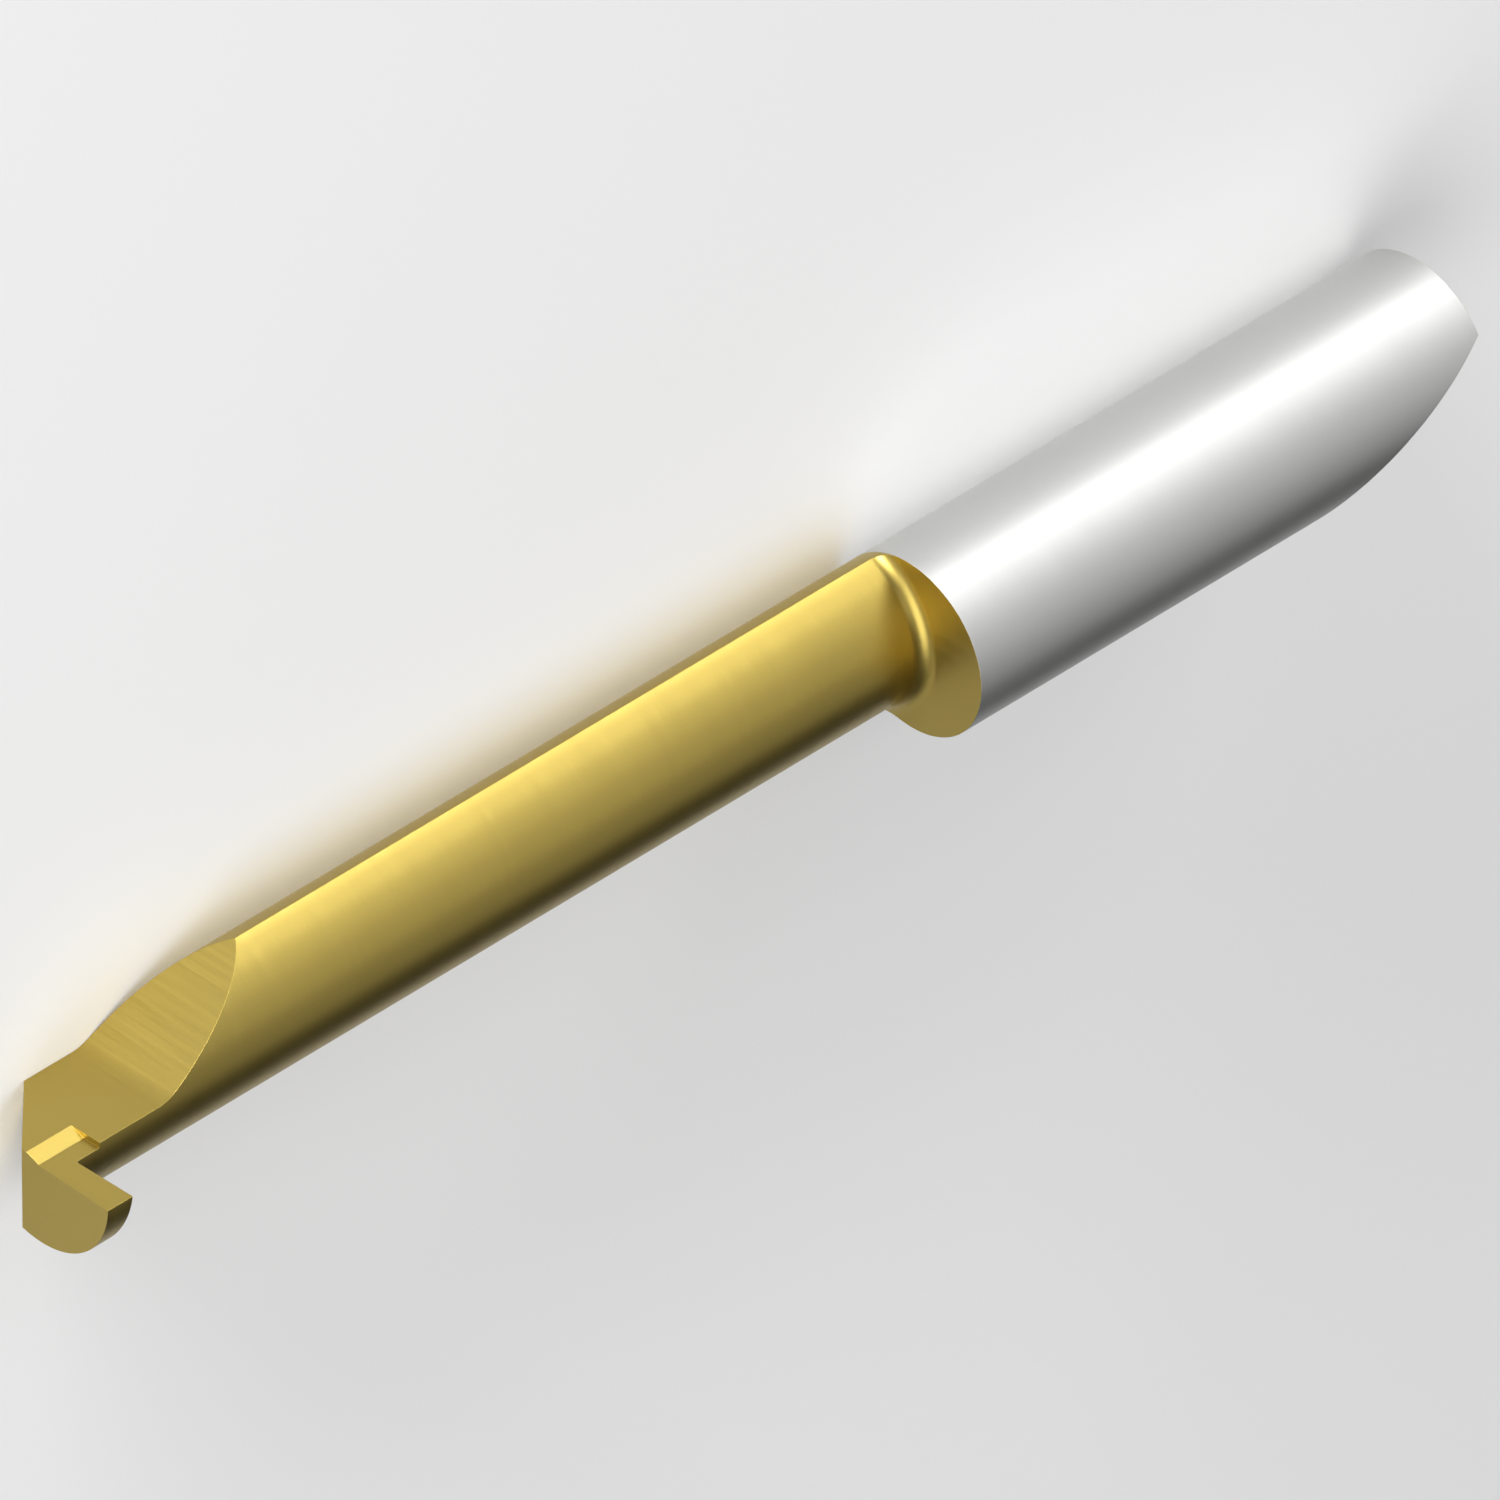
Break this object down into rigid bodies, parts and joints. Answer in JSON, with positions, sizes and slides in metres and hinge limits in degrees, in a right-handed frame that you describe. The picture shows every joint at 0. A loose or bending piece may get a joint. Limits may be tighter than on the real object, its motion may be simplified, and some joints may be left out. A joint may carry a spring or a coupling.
{
  "type": "internal grooving boring bar",
  "caption": "Miniature solid carbide boring bar for internal grooves: round shank with a slanted locating end, slim crescent neck and a thin hooked head, gold coated ahead of the shank.",
  "frame": {"origin": "on the axis of the round shank, at the shoulder where the neck begins", "axes": "+X along the shank's axis, from the tip to the clamped end; +Y square to the rake face, out of it; +Z the way the cutting edge faces, so the bar lies on its round back"},
  "size_m": [0.0562, 0.006, 0.006],
  "materials": {
    "coated_carbide": "finely ground carbide under a thin satin gold nitride coating on the head, neck and shoulder; the shank behind the shoulder is bare, bright ground carbide"
  },
  "bodies": {
    "root": {"boring_bar": "coated_carbide"}
  },
  "joints": []
}
